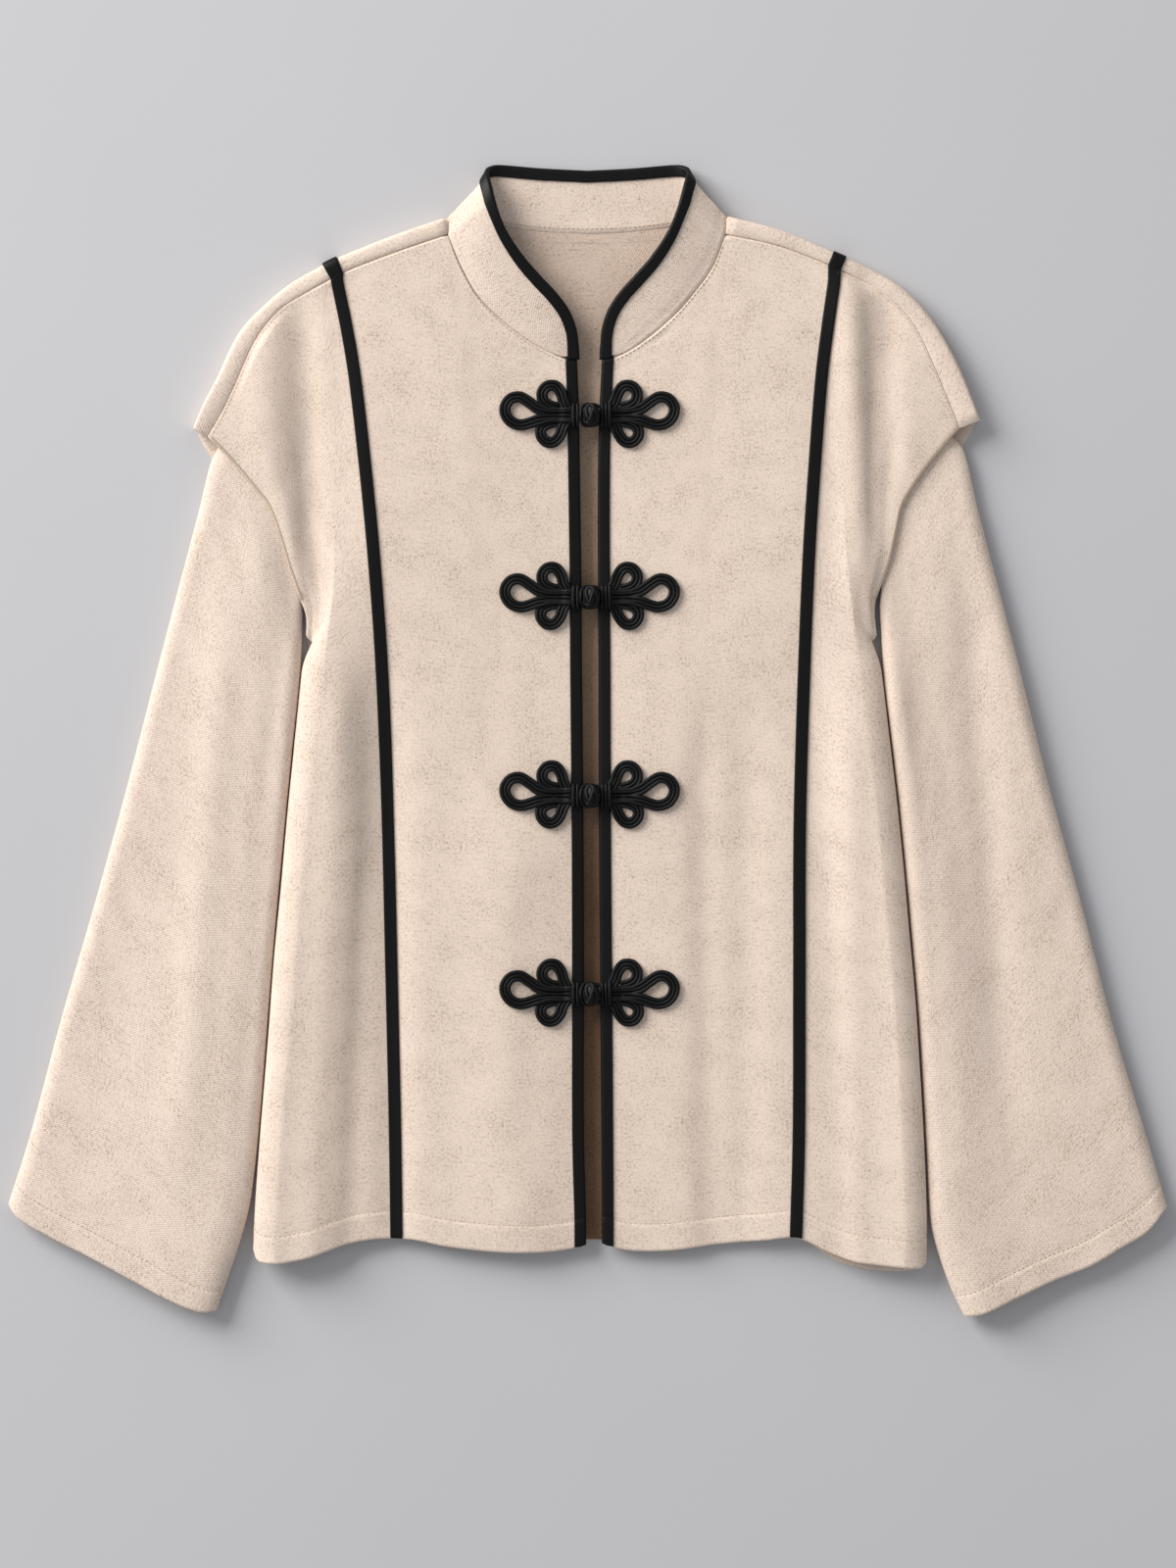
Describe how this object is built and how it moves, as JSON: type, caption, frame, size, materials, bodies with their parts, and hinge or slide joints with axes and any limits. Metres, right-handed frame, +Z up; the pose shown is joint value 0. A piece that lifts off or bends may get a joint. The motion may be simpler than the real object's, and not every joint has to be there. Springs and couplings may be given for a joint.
{
  "type": "mandarin collar blouse",
  "caption": "Loose long-sleeved blouse with a stand collar, black bound edges, ribbon strips and knotted cord frog fastenings, laid flat front up.",
  "frame": {"origin": "middle of the footprint, on the surface that the garment lies on", "axes": "+Z up out of the garment's front, +Y towards the collar, +X to the viewer's right, the wearer's left"},
  "size_m": [0.7334, 0.7289, 0.022],
  "materials": {
    "cloth": "matte cream melange plain weave with a slight nap",
    "satin": "black satin strip with a soft sheen",
    "cord": "black braided cord, low sheen"
  },
  "bodies": {
    "root": {"back": "cloth", "front_right": "cloth", "front_left": "cloth", "sleeve_right": "cloth", "sleeve_left": "cloth", "collar": "cloth", "binding_collar": "satin", "binding_front_right": "satin", "binding_front_left": "satin", "strip_right": "satin", "strip_left": "satin", "frog_knot_1": "cord", "frog_loop_1": "cord", "frog_knot_2": "cord", "frog_loop_2": "cord", "frog_knot_3": "cord", "frog_loop_3": "cord", "frog_knot_4": "cord", "frog_loop_4": "cord"}
  },
  "joints": []
}
